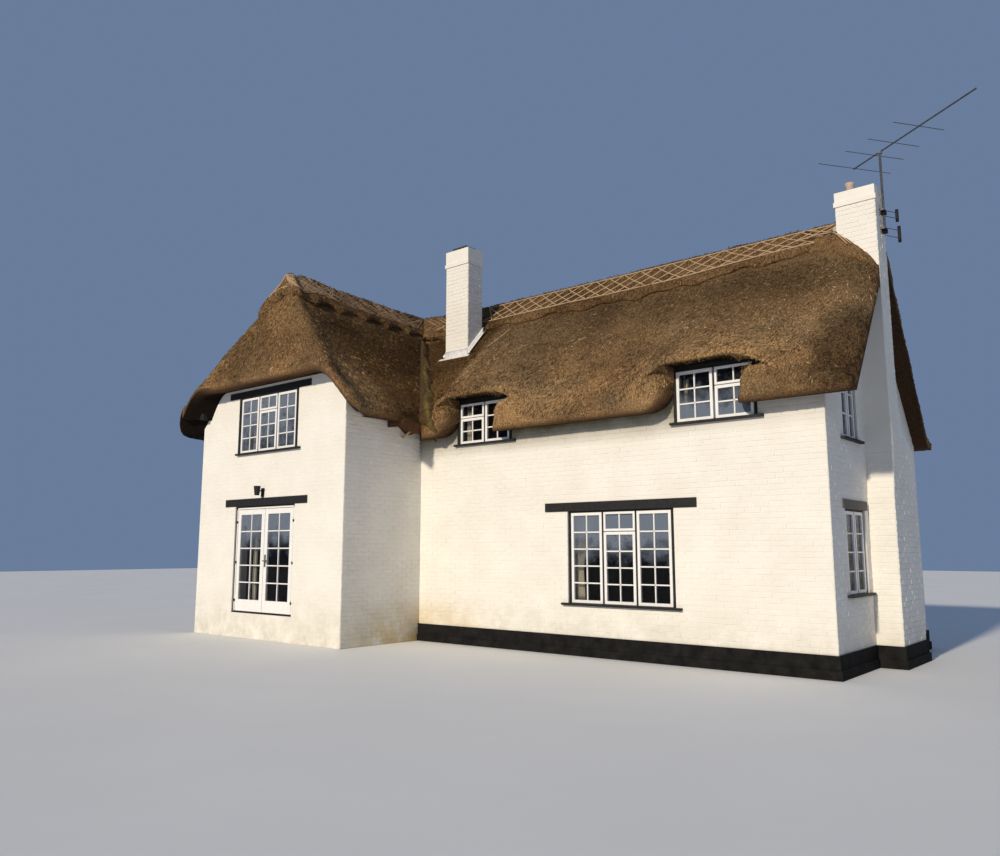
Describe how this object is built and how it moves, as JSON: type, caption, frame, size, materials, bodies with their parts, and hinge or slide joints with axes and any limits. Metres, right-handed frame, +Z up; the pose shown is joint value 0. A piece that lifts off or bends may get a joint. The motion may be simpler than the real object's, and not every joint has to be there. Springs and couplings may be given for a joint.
{
  "type": "thatched cottage",
  "caption": "Two-storey thatched cottage of white painted brick on an L-shaped plan, with a half-hipped wing, gable chimney, brows over the upper windows and opening glazed double doors.",
  "frame": {"origin": "centre of the bounding box at ground level, on the underside of the walls", "axes": "+X along the long range toward the gable chimney, +Y toward the back of the house, +Z up"},
  "size_m": [14.1708, 6.9802, 7.7773],
  "materials": {
    "brick": "white limewash on old brick",
    "thatch": "weathered reed thatch",
    "ridge": "reddish reed ridge with hazel rods",
    "black": "black paint",
    "white": "white gloss painted timber",
    "glass": "clear window glass",
    "floor": "worn boards",
    "lead": "dull grey lead",
    "stone": "weathered concrete",
    "pot": "fired clay",
    "metal": "dull metal rod"
  },
  "bodies": {
    "house": {"main_thatch": "thatch", "main_ridge": "ridge", "wing_thatch": "thatch", "wing_ridge": "ridge", "main_front_wall": "brick", "gable_wall": "brick", "back_wall": "brick", "left_wall": "brick", "wing_side_wall": "brick", "door_left_pier": "brick", "door_right_pier": "brick", "wing_upper_wall": "brick", "ground_floor": "floor", "door_footing": "brick", "upper_floor": "floor", "plinth": "black", "gable_chimney": "brick", "valley_chimney": "brick", "valley_flashing": "lead", "valley_cowl": "stone", "gable_pot": "pot", "front_lower_window": "white", "front_lower_glass": "glass", "front_upper_left_window": "white", "front_upper_left_glass": "glass", "front_upper_right_window": "white", "front_upper_right_glass": "glass", "wing_upper_window": "white", "wing_upper_glass": "glass", "gable_lower_window": "white", "gable_lower_glass": "glass", "gable_upper_window": "white", "gable_upper_glass": "glass", "back_lower_window_1": "white", "back_lower_window_2": "white", "back_upper_window_1": "white", "back_upper_window_2": "white", "left_lower_window": "white", "left_upper_window": "white", "front_lower_lintel": "black", "wing_upper_lintel": "black", "door_lintel": "black", "gable_lower_lintel": "black", "door_frame": "white", "aerial_mast": "metal", "aerial_array": "metal", "wall_lantern": "black"},
    "left_leaf": {"left_door_leaf": "white", "left_door_glass": "glass"},
    "right_leaf": {"right_door_leaf": "white", "right_door_glass": "glass", "door_handle": "metal"}
  },
  "joints": [
    {"name": "left_door_hinge", "type": "hinge", "parent": "house", "child": "left_leaf", "pos_m": [-5.2973, -3.0809, 1.4225], "axis": [0, 0, -1], "range_deg": [0, 90]},
    {"name": "right_door_hinge", "type": "hinge", "parent": "house", "child": "right_leaf", "pos_m": [-3.5779, -3.0809, 1.4225], "axis": [0, 0, 1], "range_deg": [0, 90]}
  ]
}
